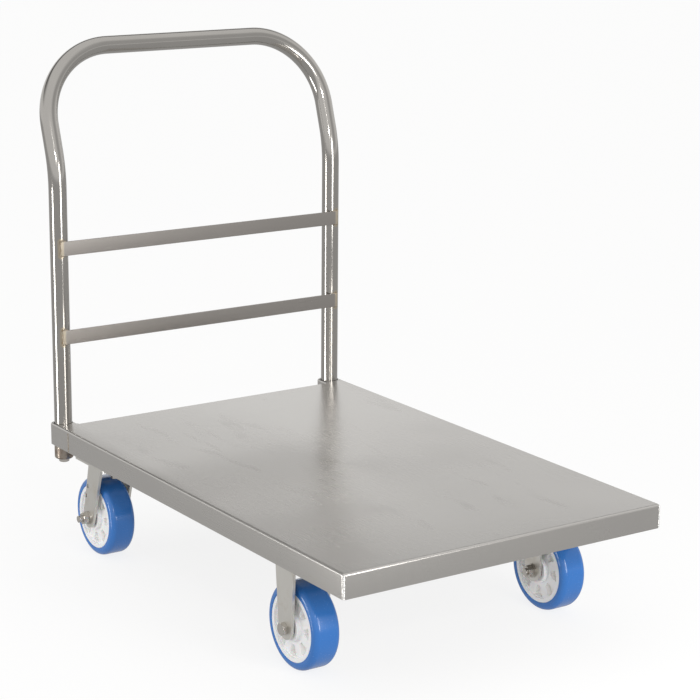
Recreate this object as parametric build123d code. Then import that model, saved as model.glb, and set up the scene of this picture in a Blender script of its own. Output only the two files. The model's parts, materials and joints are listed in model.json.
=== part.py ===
"""Flatbed platform truck: folded stainless deck, two rigid and two swivel casters, bent tube handle.

Row frame, in millimetres: +X is forward, away from the handle, +Y is left, +Z is up.
The origin lies on the floor, midway along and across the whole truck.
"""
from build123d import *
import math
import os

# ------------------------------------------------------------ driving dimensions
DECK_LENGTH = 914.4
DECK_WIDTH = 609.6
DECK_TOP = 225.0            # height of the load surface above the floor
SKIRT_DEPTH = 40.0
SHEET = 2.0                 # deck and socket sheet
EDGE_RADIUS = 4.0           # outer radius of the folded top edges
CORNER_RADIUS = 5.0         # upright front corners, welded and ground

TUBE_RADIUS = 31.75 / 2
TUBE_WALL = 1.5
SOCKET_HALF = 19.05         # half the socket wrap's outer width
SOCKET_CORNER = 10.0        # outer radius of its two rear bends
TUBE_SETBACK = 20.8         # upright's centre line behind the deck's rear edge
KNEE_HEIGHT = 457.3         # above the deck top
KNEE_TILT = 17.74           # degrees that the upper handle leans back
KNEE_RADIUS = 227.0
UPPER_LENGTH = 214.9        # along the lean, from the knee to the top tube
TOP_CORNER_RADIUS = 135.0
HANDLE_DROP = 22.0          # how far the tube reaches down into its socket

BAR_HEIGHT = 25.4
BAR_THICKNESS = 3.2
BAR_OVERHANG = 5.0          # bar end beyond the upright's centre line
BAR_LEVELS = {"lower": 160.0, "upper": 320.0}   # bar centres above the deck top

SOCKET_CAP = 6.0            # solid collar round the tube at the socket's top
SOCKET_FLOOR = 4.0
SOCKET_GAP = 1.1            # round the tube in the collar
SEAM_SETBACK = 35.0         # weld seam forward of the deck's rear edge
SPUD_RADIUS = 16.8
SPUD_REACH = 66.0           # spud's lower end below the deck top
SPUD_ROUNDING = 4.0
PLUG_LENGTH = 30.0
BAR_ROUNDING = 0.6

CHANNEL_WEB = 120.0         # width of a cross channel's flat
CHANNEL_SHEET = 3.0
CHANNEL_FLANGE = 20.0
STIFFENER_WEB = 80.0
STIFFENER_DEPTH = 28.0

WHEEL_RADIUS = 70.5
TREAD_WIDTH = 48.0
TREAD_EDGE = 10.0           # rounding of the tyre's shoulders
TREAD_INNER_EDGE = 0.8
CORE_RADIUS = 57.0
CORE_WIDTH = 47.0
CORE_EDGE = 1.2
HUB_RADIUS = 23.0
HUB_WIDTH = 54.0
HUB_EDGE = 1.0
BORE_RADIUS = 12.7
RECESS_OUTER = 50.0         # dished ring between hub and rim
RECESS_DEPTH = 4.0
POCKET_COUNT = 8            # pockets sunk further into the dished ring
POCKET_INNER = 29.0
POCKET_OUTER = 48.5
POCKET_DEPTH = 12.0         # below the wheel's face
POCKET_ROUNDING = 2.5
RIB_WIDTH = 15.0
MOULD_DRAFT = 5.0           # degrees
SLEEVE_RADIUS = 9.5
BUSH_LENGTH = 20.0
BUSH_FLANGE_RADIUS = 16.0
BUSH_FLANGE = 2.0
RUNNING_GAP = 0.05          # radial clearance of a running fit
CLOSE_GAP = 0.05            # radial clearance of a piece that is welded or glued in
PAST = 1.0                  # how far a cut runs past the face that it opens

FORK_GAP = 60.0             # between a fork's legs
LEG_THICKNESS = 5.0
SHOULDER_ROUNDING = 3.0
RIGID_LEG_TOP = 52.0
RIGID_LEG_END = 18.5
RIGID_LEG_LEAN = -2.0       # middle of the leg's top ahead of the axle
SWIVEL_LEG_TOP = 45.0
SWIVEL_LEG_END = 18.0
SWIVEL_LEG_LEAN = 29.0
SWIVEL_TRAIL = 38.0         # axle behind the swivel axis
LEG_SLOT_LENGTH = 8.0
LEG_SLOT_WIDTH = 4.0
LEG_SLOTS = ((-6.0, 40.0), (1.0, 59.0))     # ahead of and above the axle

PLATE_LENGTH = 114.3
PLATE_WIDTH = 101.6
PLATE_THICKNESS = 6.0
PLATE_CORNER = 8.0
PLATE_HOLE_X = 92.0
PLATE_HOLE_Y = 66.6
RACE_GAP = 4.5              # swivel plate to fork crown
RACE_RADIUS = 27.0
BALL_RADIUS = 3.175
BALL_COUNT = 24
RACE_CLEARANCE = 0.3

FRONT_AXLE_X = 255.8        # from the deck's centre
FRONT_WHEEL_Y = 243.1
REAR_AXLE_X = -388.0
REAR_WHEEL_Y = 250.7

AXLE_RADIUS = 6.0
AXLE_HEX = 19.0
AXLE_HEAD = 8.0
AXLE_NUT = 10.0
AXLE_WASHER = 2.5
AXLE_WASHER_RADIUS = 12.0
AXLE_CLEARANCE = 0.2
FRONT_AXLE_TAIL = 16.0      # bolt end past the fork
REAR_AXLE_TAIL = 20.0
KINGPIN_RADIUS = 8.0
KINGPIN_SINK = 4.0          # countersunk head
KINGPIN_HEX = 24.0
KINGPIN_NUT = 11.0
KINGPIN_FLANGE = 2.5
KINGPIN_FLANGE_RADIUS = 16.0
KINGPIN_END = 30.0          # below the swivel plate
PLATE_BOLT_RADIUS = 4.0
PLATE_BOLT_HEX = 13.0
PLATE_BOLT_HEAD = 5.3       # with its flange
PLATE_BOLT_FLANGE = 1.2
PLATE_BOLT_FLANGE_RADIUS = 8.5
PLATE_BOLT_LENGTH = 19.0
PLATE_HOLE_CLEARANCE = 0.5
WELD_NUT = 6.5
HANDLE_BOLT_RADIUS = 5.0
HANDLE_BOLT_HEX = 16.0
HANDLE_BOLT_HEAD = 6.4
HANDLE_BOLT_CLEARANCE = 0.3
HANDLE_BOLT_SHORT = 6.0     # bolt end below the plug's top

# ------------------------------------------------------------ places worked out from them
LEAN = math.radians(KNEE_TILT)
UPRIGHT_FROM_CENTRE = -DECK_LENGTH / 2 - TUBE_SETBACK
TOP_FROM_CENTRE = UPRIGHT_FROM_CENTRE - UPPER_LENGTH * math.sin(LEAN)
DECK_X = -(TOP_FROM_CENTRE - TUBE_RADIUS + DECK_LENGTH / 2) / 2
DECK_FRONT = DECK_X + DECK_LENGTH / 2
DECK_REAR = DECK_X - DECK_LENGTH / 2
SKIRT_BOTTOM = DECK_TOP - SKIRT_DEPTH
UPRIGHT_X = DECK_X + UPRIGHT_FROM_CENTRE
TOP_X = DECK_X + TOP_FROM_CENTRE
KNEE_Z = DECK_TOP + KNEE_HEIGHT
TOP_Z = KNEE_Z + UPPER_LENGTH * math.cos(LEAN)
HANDLE_FOOT = DECK_TOP - HANDLE_DROP
UPRIGHT_Y = DECK_WIDTH / 2 - SOCKET_HALF
SEAM_X = DECK_REAR + SEAM_SETBACK
SPUD_BOTTOM = DECK_TOP - SPUD_REACH

AXLE_Z = WHEEL_RADIUS
FRONT_X = DECK_X + FRONT_AXLE_X
REAR_X = DECK_X + REAR_AXLE_X
SWIVEL_X = REAR_X + SWIVEL_TRAIL
PLATE_TOP = SKIRT_BOTTOM
PLATE_BOTTOM = PLATE_TOP - PLATE_THICKNESS
CROWN_TOP = PLATE_BOTTOM - RACE_GAP
FORK_HALF = FORK_GAP / 2 + LEG_THICKNESS


# ------------------------------------------------------------ shared helpers
def block(low, high):
    """Box between two opposite corners."""
    size = [b - a for a, b in zip(low, high)]
    centre = [(a + b) / 2 for a, b in zip(low, high)]
    return Pos(*centre) * Box(*size)


def rod(radius, base, length, along="Z"):
    """Cylinder that starts at base and runs length along +X, +Y or +Z."""
    direction = {"X": (1, 0, 0), "Y": (0, 1, 0), "Z": (0, 0, 1)}[along]
    start = Plane(origin=base, z_dir=direction)
    return extrude(start * Circle(radius), length)


def hexagon(across, base, length, along="Z"):
    """Hexagonal prism with its far corners chamfered as on a bolt head."""
    direction = {"Y": (0, 1, 0), "-Y": (0, -1, 0), "Z": (0, 0, 1), "-Z": (0, 0, -1)}[along]
    start = Plane(origin=base, z_dir=direction)
    corner = across / math.sqrt(3)
    bevel = corner - across / 2
    prism = extrude(start * RegularPolygon(across / 2, 6, major_radius=False), length)
    turned = Pos(0, 0, length / 2) * Cylinder(corner, length)
    turned = chamfer(turned.edges().group_by(Axis.Z)[-1], 0.6 * bevel, bevel)
    return prism & (start * turned)


def mirrored(shape):
    """The right-hand twin of a left-hand piece."""
    return mirror(shape, about=Plane.XZ)


def tangent_point(x, z, radius, turn):
    """Point where the line from (x, z) touches a circle about (0, 0); turn picks the side."""
    reach = math.hypot(x, z)
    angle = math.atan2(z, x) + turn * math.acos(radius / reach)
    return radius * math.cos(angle), radius * math.sin(angle)


def leg_outline(axle_x, left, right, top, end_radius):
    """Fork leg seen from the side: straight top, edges running tangent into a round end."""
    height = top - AXLE_Z
    low_right = tangent_point(right, height, end_radius, -1)
    low_left = tangent_point(left, height, end_radius, 1)
    corners = [(left, height), (right, height), low_right, (0, 0), low_left]
    side = Polygon(*corners, align=None) + Circle(end_radius)
    return Plane(origin=(axle_x, 0, AXLE_Z), x_dir=(1, 0, 0), z_dir=(0, -1, 0)) * side


# ------------------------------------------------------------ deck
def deck_block(inset, depth):
    """The deck's envelope, drawn in by inset on every side and the top."""
    half = DECK_WIDTH / 2 - inset
    low = (DECK_REAR + inset, -half, DECK_TOP - depth)
    high = (DECK_FRONT - inset, half, DECK_TOP - inset)
    body = block(low, high)
    front_corners = body.edges().filter_by(Axis.Z).group_by(Axis.X)[-1]
    body = fillet(front_corners, CORNER_RADIUS - inset)
    top = body.edges().group_by(Axis.Z)[-1]
    rear_top = top.filter_by(Axis.Y).group_by(Axis.X)[0]
    return fillet([edge for edge in top if edge not in rear_top], EDGE_RADIUS - inset)


def make_deck_pan():
    """Top sheet folded down on all four sides; the rear corners make room for the sockets."""
    pan = deck_block(0, SKIRT_DEPTH) - deck_block(SHEET, SKIRT_DEPTH + SHEET)
    inner_wall = UPRIGHT_Y - SOCKET_HALF
    roll_low = (DECK_REAR - PAST, -inner_wall, DECK_TOP - EDGE_RADIUS)
    roll_high = (DECK_REAR + EDGE_RADIUS, inner_wall, DECK_TOP + PAST)
    roll_start = (DECK_REAR + EDGE_RADIUS, -inner_wall, DECK_TOP - EDGE_RADIUS)
    pan -= block(roll_low, roll_high) - rod(EDGE_RADIUS, roll_start, 2 * inner_wall, "Y")
    for side in (1, -1):
        near = side * (DECK_WIDTH / 2 - SHEET)
        far = side * (DECK_WIDTH / 2 + PAST)
        low = (DECK_REAR - PAST, min(near, far), SKIRT_BOTTOM - PAST)
        high = (SEAM_X, max(near, far), DECK_TOP - SOCKET_CAP)
        pan -= block(low, high)
    return pan


def hat_channel(centre_x, web, length, depth, along):
    """Hat section welded under the top sheet: flat web below, two walls, two flanges."""
    under = DECK_TOP - SHEET
    outer = Box(web, length, depth, align=(Align.CENTER, Align.CENTER, Align.MAX))
    inner_height = depth - CHANNEL_SHEET
    inner = Box(web - 2 * CHANNEL_SHEET, length, inner_height,
                align=(Align.CENTER, Align.CENTER, Align.MAX))
    flanges = Box(web + 2 * CHANNEL_FLANGE, length, CHANNEL_SHEET,
                  align=(Align.CENTER, Align.CENTER, Align.MAX))
    turn = Rot(0, 0, 90 if along == "X" else 0)
    return Pos(centre_x, 0, under) * turn * (outer + flanges - inner)


def plate_holes(centre_x, centre_y):
    """Centres of a caster plate's four bolts."""
    return [(centre_x + i * PLATE_HOLE_X / 2, centre_y + j * PLATE_HOLE_Y / 2)
            for i in (-1, 1) for j in (-1, 1)]


def make_cross_channel(centre_x, wheel_y):
    """Hat section across the deck over one pair of casters, drilled for their bolts."""
    length = DECK_WIDTH - 2 * EDGE_RADIUS
    channel = hat_channel(centre_x, CHANNEL_WEB, length, SKIRT_DEPTH - SHEET, "Y")
    for side in (1, -1):
        for x, y in plate_holes(centre_x, side * wheel_y):
            hole = (x, y, SKIRT_BOTTOM - PAST)
            channel -= rod(PLATE_BOLT_RADIUS + PLATE_HOLE_CLEARANCE, hole, CHANNEL_SHEET + 2 * PAST)
    return channel


def make_stiffener():
    """Lengthwise hat section between the two cross channels."""
    half_channel = CHANNEL_WEB / 2 + CHANNEL_FLANGE
    rear = SWIVEL_X + half_channel
    front = FRONT_X - half_channel
    return hat_channel((rear + front) / 2, STIFFENER_WEB, front - rear, STIFFENER_DEPTH, "X")


def make_weld_nuts(centre_x, wheel_y):
    """The eight nuts inside one cross channel."""
    base = SKIRT_BOTTOM + CHANNEL_SHEET
    nuts = []
    for side in (1, -1):
        for x, y in plate_holes(centre_x, side * wheel_y):
            nut = hexagon(PLATE_BOLT_HEX, (x, y, base), WELD_NUT)
            thread = rod(PLATE_BOLT_RADIUS + RUNNING_GAP, (x, y, base - PAST), WELD_NUT + 2 * PAST)
            nuts.append(nut - thread)
    return Compound(children=nuts)


# ------------------------------------------------------------ handle and its sockets
def make_socket():
    """Sheet wrapped round the tube in a U, with a solid collar above and a floor below."""
    top = DECK_TOP
    low = SKIRT_BOTTOM
    outer_y = UPRIGHT_Y + SOCKET_HALF
    inner_y = UPRIGHT_Y - SOCKET_HALF
    rear_x = UPRIGHT_X - SOCKET_HALF
    shell = block((rear_x, inner_y, low), (DECK_REAR, outer_y, top))
    shell = fillet(shell.edges().filter_by(Axis.Z).group_by(Axis.X)[0], SOCKET_CORNER)
    rim = [edge for edge in shell.edges().group_by(Axis.Z)[-1]
           if abs(edge.center().X - DECK_REAR) > 0.1]
    shell = fillet(rim, EDGE_RADIUS)
    room_low = low + SOCKET_FLOOR
    room_high = top - SOCKET_CAP
    room = block((rear_x + SHEET, inner_y + SHEET, room_low),
                 (DECK_REAR + PAST, outer_y - SHEET, room_high))
    shell -= fillet(room.edges().filter_by(Axis.Z).group_by(Axis.X)[0], SOCKET_CORNER - SHEET)
    collar = (UPRIGHT_X, UPRIGHT_Y, room_high - PAST)
    shell -= rod(TUBE_RADIUS + SOCKET_GAP, collar, SOCKET_CAP + 2 * PAST)
    floor = (UPRIGHT_X, UPRIGHT_Y, low - PAST)
    shell -= rod(SPUD_RADIUS + CLOSE_GAP, floor, SOCKET_FLOOR + 2 * PAST)
    shell += block((DECK_REAR - PAST, outer_y - SHEET, low), (SEAM_X, outer_y, room_high))
    return shell


def make_spud():
    """Round bar welded through the socket's floor; the tube stands on it."""
    bar = rod(SPUD_RADIUS, (UPRIGHT_X, UPRIGHT_Y, SPUD_BOTTOM), HANDLE_FOOT - SPUD_BOTTOM)
    bar = fillet(bar.edges().group_by(Axis.Z)[0], SPUD_ROUNDING)
    length = HANDLE_FOOT - SPUD_BOTTOM + 2 * PAST
    hole = (UPRIGHT_X, UPRIGHT_Y, SPUD_BOTTOM - PAST)
    return bar - rod(HANDLE_BOLT_RADIUS + HANDLE_BOLT_CLEARANCE, hole, length)


def handle_path():
    """Centre line of the handle: up, back at the knee, across, and down again."""
    corners = [
        (UPRIGHT_X, -UPRIGHT_Y, HANDLE_FOOT),
        (UPRIGHT_X, -UPRIGHT_Y, KNEE_Z),
        (TOP_X, -UPRIGHT_Y, TOP_Z),
        (TOP_X, UPRIGHT_Y, TOP_Z),
        (UPRIGHT_X, UPRIGHT_Y, KNEE_Z),
        (UPRIGHT_X, UPRIGHT_Y, HANDLE_FOOT),
    ]
    radii = [KNEE_RADIUS, TOP_CORNER_RADIUS, TOP_CORNER_RADIUS, KNEE_RADIUS]
    return FilletPolyline(*corners, radius=radii)


def make_handle_tube():
    """One tube bent into the whole handle."""
    path = handle_path()
    foot = Plane(origin=path @ 0, z_dir=path % 0)
    section = foot * (Circle(TUBE_RADIUS) - Circle(TUBE_RADIUS - TUBE_WALL))
    return sweep(section, path=path)


def make_crossbar(level):
    """Flat bar lapped on the front of both uprights."""
    front = UPRIGHT_X + TUBE_RADIUS
    half = UPRIGHT_Y + BAR_OVERHANG
    height = DECK_TOP + level
    low = (front, -half, height - BAR_HEIGHT / 2)
    high = (front + BAR_THICKNESS, half, height + BAR_HEIGHT / 2)
    bar = block(low, high)
    return fillet(bar.edges().filter_by(Axis.Y), BAR_ROUNDING)


def make_tube_plug():
    """Threaded plug fixed in the tube's lower end."""
    radius = TUBE_RADIUS - TUBE_WALL - CLOSE_GAP
    plug = rod(radius, (UPRIGHT_X, UPRIGHT_Y, HANDLE_FOOT), PLUG_LENGTH)
    thread = HANDLE_BOLT_RADIUS + RUNNING_GAP
    start = (UPRIGHT_X, UPRIGHT_Y, HANDLE_FOOT - PAST)
    return plug - rod(thread, start, PLUG_LENGTH + 2 * PAST)


def make_handle_bolt():
    """Hex bolt that holds the handle down from below."""
    head = hexagon(HANDLE_BOLT_HEX, (UPRIGHT_X, UPRIGHT_Y, SPUD_BOTTOM), HANDLE_BOLT_HEAD, "-Z")
    length = HANDLE_FOOT + PLUG_LENGTH - HANDLE_BOLT_SHORT - SPUD_BOTTOM
    return head + rod(HANDLE_BOLT_RADIUS, (UPRIGHT_X, UPRIGHT_Y, SPUD_BOTTOM), length)


# ------------------------------------------------------------ caster plates and fasteners
def make_top_plate(centre_x, wheel_y, swivels):
    """Caster mounting plate; a swivel plate also has a ball groove and a kingpin seat."""
    low = (centre_x - PLATE_LENGTH / 2, wheel_y - PLATE_WIDTH / 2, PLATE_BOTTOM)
    high = (centre_x + PLATE_LENGTH / 2, wheel_y + PLATE_WIDTH / 2, PLATE_TOP)
    plate = fillet(block(low, high).edges().filter_by(Axis.Z), PLATE_CORNER)
    for x, y in plate_holes(centre_x, wheel_y):
        hole = (x, y, PLATE_BOTTOM - PAST)
        plate -= rod(PLATE_BOLT_RADIUS + PLATE_HOLE_CLEARANCE, hole, PLATE_THICKNESS + 2 * PAST)
    if swivels:
        plate -= ball_groove(centre_x, wheel_y)
        plate -= kingpin_body(centre_x, wheel_y, RUNNING_GAP)
    return plate


def ball_centre_z():
    """Height of the swivel balls' centres, midway between plate and crown."""
    return PLATE_BOTTOM - RACE_GAP / 2


def ball_groove(x, y):
    """Ring cut that the swivel balls run in."""
    return Pos(x, y, ball_centre_z()) * Torus(RACE_RADIUS, BALL_RADIUS + RACE_CLEARANCE)


def make_plate_bolts(centre_x, wheel_y):
    """Four flanged bolts up through one caster plate."""
    bolts = []
    for x, y in plate_holes(centre_x, wheel_y):
        seat = (x, y, PLATE_BOTTOM - PLATE_BOLT_FLANGE)
        head = hexagon(PLATE_BOLT_HEX, seat, PLATE_BOLT_HEAD - PLATE_BOLT_FLANGE, "-Z")
        flange = rod(PLATE_BOLT_FLANGE_RADIUS, seat, PLATE_BOLT_FLANGE)
        shank = rod(PLATE_BOLT_RADIUS, (x, y, PLATE_BOTTOM), PLATE_BOLT_LENGTH)
        bolts.append(head + flange + shank)
    return Compound(children=bolts)


# ------------------------------------------------------------ forks
def make_fork(axle_x, crown_x, wheel_y, top, leg_top, lean, end_radius):
    """Two legs joined by a flat crown, with holes for the axle."""
    outline = leg_outline(axle_x, lean - leg_top / 2, lean + leg_top / 2, top, end_radius)
    crown_low = (axle_x + lean - leg_top / 2, -FORK_HALF, top - LEG_THICKNESS)
    crown_high = (axle_x + lean + leg_top / 2, FORK_HALF, top)
    fork = block(crown_low, crown_high)
    for start in (-FORK_HALF, FORK_GAP / 2):
        fork += Pos(0, start, 0) * extrude(outline, LEG_THICKNESS, dir=(0, 1, 0))
    shoulders = [edge for edge in fork.edges().filter_by(Axis.X).group_by(Axis.Z)[-1]
                 if abs(abs(edge.center().Y) - FORK_HALF) < 0.01]
    fork = fillet(shoulders, SHOULDER_ROUNDING)
    if crown_x != axle_x:
        fork += rod(FORK_HALF, (crown_x, 0, top - LEG_THICKNESS), LEG_THICKNESS)
    axle = (axle_x, -FORK_HALF - PAST, AXLE_Z)
    fork -= rod(AXLE_RADIUS + AXLE_CLEARANCE, axle, 2 * (FORK_HALF + PAST), "Y")
    return Pos(0, wheel_y, 0) * fork


def make_rigid_fork():
    """Front fork, welded under its plate."""
    return make_fork(FRONT_X, FRONT_X, FRONT_WHEEL_Y, PLATE_BOTTOM,
                     RIGID_LEG_TOP, RIGID_LEG_LEAN, RIGID_LEG_END)


def leg_slot(x, z):
    """Small upright slot through both legs of a swivel fork."""
    face = Plane(origin=(x, REAR_WHEEL_Y, z), x_dir=(0, 0, 1), z_dir=(0, 1, 0))
    return extrude(face * SlotOverall(LEG_SLOT_LENGTH, LEG_SLOT_WIDTH), FORK_HALF + PAST, both=True)


def make_swivel_fork():
    """Rear fork: legs lean forward from the axle up to a round crown that turns on the kingpin."""
    fork = make_fork(REAR_X, SWIVEL_X, REAR_WHEEL_Y, CROWN_TOP,
                     SWIVEL_LEG_TOP, SWIVEL_LEG_LEAN, SWIVEL_LEG_END)
    fork -= ball_groove(SWIVEL_X, REAR_WHEEL_Y)
    hole = (SWIVEL_X, REAR_WHEEL_Y, CROWN_TOP - LEG_THICKNESS - PAST)
    fork -= rod(KINGPIN_RADIUS + RUNNING_GAP, hole, LEG_THICKNESS + 2 * PAST)
    for x, z in LEG_SLOTS:
        fork -= leg_slot(REAR_X + x, AXLE_Z + z)
    return fork


def kingpin_body(x, y, gap):
    """Kingpin, flush in the plate's top, grown by gap all round."""
    radius = KINGPIN_RADIUS + gap
    cone = Pos(x, y, PLATE_TOP - KINGPIN_SINK / 2) * Cone(radius, radius + KINGPIN_SINK, KINGPIN_SINK)
    foot = PLATE_BOTTOM - KINGPIN_END
    return cone + rod(radius, (x, y, foot), PLATE_TOP - KINGPIN_SINK - foot)


def make_kingpin():
    """Swivel bolt fixed in the plate."""
    return kingpin_body(SWIVEL_X, REAR_WHEEL_Y, 0)


def make_kingpin_nut():
    """Flanged nut that holds the fork up on the kingpin."""
    top = CROWN_TOP - LEG_THICKNESS - RACE_CLEARANCE
    seat = (SWIVEL_X, REAR_WHEEL_Y, top - KINGPIN_FLANGE)
    flange = rod(KINGPIN_FLANGE_RADIUS, seat, KINGPIN_FLANGE)
    nut = flange + hexagon(KINGPIN_HEX, seat, KINGPIN_NUT, "-Z")
    height = KINGPIN_FLANGE + KINGPIN_NUT
    thread = (SWIVEL_X, REAR_WHEEL_Y, top - height - PAST)
    return nut - rod(KINGPIN_RADIUS + RUNNING_GAP, thread, height + 2 * PAST)


def make_swivel_balls():
    """Ring of balls between the plate and the crown."""
    step = 360 / BALL_COUNT
    ring = Pos(SWIVEL_X, REAR_WHEEL_Y, ball_centre_z())
    balls = [ring * Rot(0, 0, i * step) * Pos(RACE_RADIUS, 0, 0) * Sphere(BALL_RADIUS)
             for i in range(BALL_COUNT)]
    return Compound(children=balls)


# ------------------------------------------------------------ axles
def make_axle_bolt(x, y, head_side, tail):
    """Axle bolt across a fork; head_side is +1 for a head outboard, tail its free end's length."""
    face = y + head_side * FORK_HALF
    along = "Y" if head_side > 0 else "-Y"
    head = hexagon(AXLE_HEX, (x, face, AXLE_Z), AXLE_HEAD, along)
    end = y - head_side * (FORK_HALF + tail)
    low = min(face, end)
    return head + rod(AXLE_RADIUS, (x, low, AXLE_Z), abs(face - end), "Y")


def make_axle_nut(x, y, side):
    """Washer and nut on one side of a fork, drawn up tight."""
    face = y + side * FORK_HALF
    along = "Y" if side > 0 else "-Y"
    washer_low = min(face, face + side * AXLE_WASHER)
    washer = rod(AXLE_WASHER_RADIUS, (x, washer_low, AXLE_Z), AXLE_WASHER, "Y")
    nut = hexagon(AXLE_HEX, (x, face + side * AXLE_WASHER, AXLE_Z), AXLE_NUT, along)
    bore = rod(AXLE_RADIUS + RUNNING_GAP, (x, y - 2 * FORK_HALF, AXLE_Z), 4 * FORK_HALF, "Y")
    return Compound(children=[washer - bore, nut - bore])


def make_axle_sleeve(x, y):
    """Steel sleeve clamped between the legs, on which the wheel turns."""
    sleeve = rod(SLEEVE_RADIUS, (x, y - FORK_GAP / 2, AXLE_Z), FORK_GAP, "Y")
    bore = rod(AXLE_RADIUS + AXLE_CLEARANCE, (x, y - FORK_GAP, AXLE_Z), 2 * FORK_GAP, "Y")
    return sleeve - bore


# ------------------------------------------------------------ wheels
def wheel_place(x, y):
    """Moves a wheel piece made about the world's Y axis to its axle."""
    return Pos(x, y, AXLE_Z)


def make_tread(x, y):
    """Polyurethane tyre with broad rounded shoulders."""
    middle = (CORE_RADIUS + WHEEL_RADIUS) / 2
    section = Pos(middle, 0) * Rectangle(WHEEL_RADIUS - CORE_RADIUS, TREAD_WIDTH)
    outer = section.vertices().group_by(Axis.X)[-1]
    section = fillet(outer, TREAD_EDGE)
    inner = section.vertices().group_by(Axis.X)[0]
    section = fillet(inner, TREAD_INNER_EDGE)
    ring = revolve(section, axis=Axis.Y)
    return wheel_place(x, y) * ring


def core_pocket():
    """One sector-shaped pocket between two ribs, drawn on the wheel's face."""
    ring = Circle(POCKET_OUTER) - Circle(POCKET_INNER)
    spread = math.pi / POCKET_COUNT
    tip = RIB_WIDTH / 2 / math.sin(spread)
    far_x = tip + POCKET_OUTER
    far_y = POCKET_OUTER * math.tan(spread)
    sector = ring & Polygon((tip, 0), (far_x, far_y), (far_x, -far_y), align=None)
    return fillet(sector.vertices(), POCKET_ROUNDING)


def make_core(x, y):
    """White moulded wheel centre: rim, dished ring with pockets between its ribs, and hub."""
    core = rod(CORE_RADIUS, (0, -CORE_WIDTH / 2, 0), CORE_WIDTH, "Y")
    core = fillet(core.edges(), CORE_EDGE)
    step = 360 / POCKET_COUNT
    for side in (1, -1):
        face = Plane(origin=(0, side * CORE_WIDTH / 2, 0), x_dir=(1, 0, 0), z_dir=(0, side, 0))
        core -= extrude(face * Circle(RECESS_OUTER), -RECESS_DEPTH, taper=MOULD_DRAFT)
        pocket = extrude(face * core_pocket(), -POCKET_DEPTH, taper=MOULD_DRAFT)
        for i in range(POCKET_COUNT):
            core -= Rot(0, i * step, 0) * pocket
    hub = rod(HUB_RADIUS, (0, -HUB_WIDTH / 2, 0), HUB_WIDTH, "Y")
    core += fillet(hub.edges(), HUB_EDGE)
    core -= rod(BORE_RADIUS, (0, -HUB_WIDTH, 0), 2 * HUB_WIDTH, "Y")
    return wheel_place(x, y) * core


def make_bushes(x, y):
    """Flanged plain bushes pressed in from both ends of the hub."""
    bushes = []
    for side in (1, -1):
        face = side * HUB_WIDTH / 2
        body_low = min(face, face - side * BUSH_LENGTH)
        body = rod(BORE_RADIUS - CLOSE_GAP, (0, body_low, 0), BUSH_LENGTH, "Y")
        flange_low = min(face, face + side * BUSH_FLANGE)
        flange = rod(BUSH_FLANGE_RADIUS, (0, flange_low, 0), BUSH_FLANGE, "Y")
        bore = rod(SLEEVE_RADIUS + RUNNING_GAP, (0, -HUB_WIDTH, 0), 2 * HUB_WIDTH, "Y")
        bushes.append(wheel_place(x, y) * (body + flange - bore))
    return Compound(children=bushes)


# ------------------------------------------------------------ the whole truck
def both_sides(nodes, name, left_piece):
    """Stores a left-hand piece and its right-hand twin."""
    nodes[name.format(side="left")] = left_piece
    nodes[name.format(side="right")] = mirrored(left_piece)


def make_nodes():
    """Every node of the truck by name."""
    nodes = {
        "deck_pan": make_deck_pan(),
        "front_cross_channel": make_cross_channel(FRONT_X, FRONT_WHEEL_Y),
        "rear_cross_channel": make_cross_channel(SWIVEL_X, REAR_WHEEL_Y),
        "centre_stiffener": make_stiffener(),
        "front_weld_nuts": make_weld_nuts(FRONT_X, FRONT_WHEEL_Y),
        "rear_weld_nuts": make_weld_nuts(SWIVEL_X, REAR_WHEEL_Y),
        "handle_tube": make_handle_tube(),
    }
    for name, level in BAR_LEVELS.items():
        nodes[f"handle_crossbar_{name}"] = make_crossbar(level)
    both_sides(nodes, "handle_socket_{side}", make_socket())
    both_sides(nodes, "socket_spud_{side}", make_spud())
    both_sides(nodes, "tube_plug_{side}", make_tube_plug())
    both_sides(nodes, "handle_bolt_{side}", make_handle_bolt())

    both_sides(nodes, "front_{side}_top_plate", make_top_plate(FRONT_X, FRONT_WHEEL_Y, False))
    both_sides(nodes, "rear_{side}_top_plate", make_top_plate(SWIVEL_X, REAR_WHEEL_Y, True))
    both_sides(nodes, "front_{side}_plate_bolts", make_plate_bolts(FRONT_X, FRONT_WHEEL_Y))
    both_sides(nodes, "rear_{side}_plate_bolts", make_plate_bolts(SWIVEL_X, REAR_WHEEL_Y))
    both_sides(nodes, "front_{side}_fork", make_rigid_fork())
    both_sides(nodes, "rear_{side}_fork", make_swivel_fork())
    both_sides(nodes, "rear_{side}_kingpin", make_kingpin())
    both_sides(nodes, "rear_{side}_kingpin_nut", make_kingpin_nut())
    both_sides(nodes, "rear_{side}_swivel_balls", make_swivel_balls())

    casters = (
        ("front", FRONT_X, FRONT_WHEEL_Y, 1, FRONT_AXLE_TAIL),
        ("rear", REAR_X, REAR_WHEEL_Y, -1, REAR_AXLE_TAIL),
    )
    for end, x, y, head_side, tail in casters:
        both_sides(nodes, end + "_{side}_axle_bolt", make_axle_bolt(x, y, head_side, tail))
        both_sides(nodes, end + "_{side}_axle_nut", make_axle_nut(x, y, -head_side))
        both_sides(nodes, end + "_{side}_axle_sleeve", make_axle_sleeve(x, y))
        both_sides(nodes, end + "_{side}_tread", make_tread(x, y))
        both_sides(nodes, end + "_{side}_wheel_core", make_core(x, y))
        both_sides(nodes, end + "_{side}_wheel_bushes", make_bushes(x, y))
    return nodes


os.makedirs("parts", exist_ok=True)
for node_name, shape in make_nodes().items():
    shape.label = node_name
    export_step(shape, f"parts/{node_name}.step")
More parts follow.
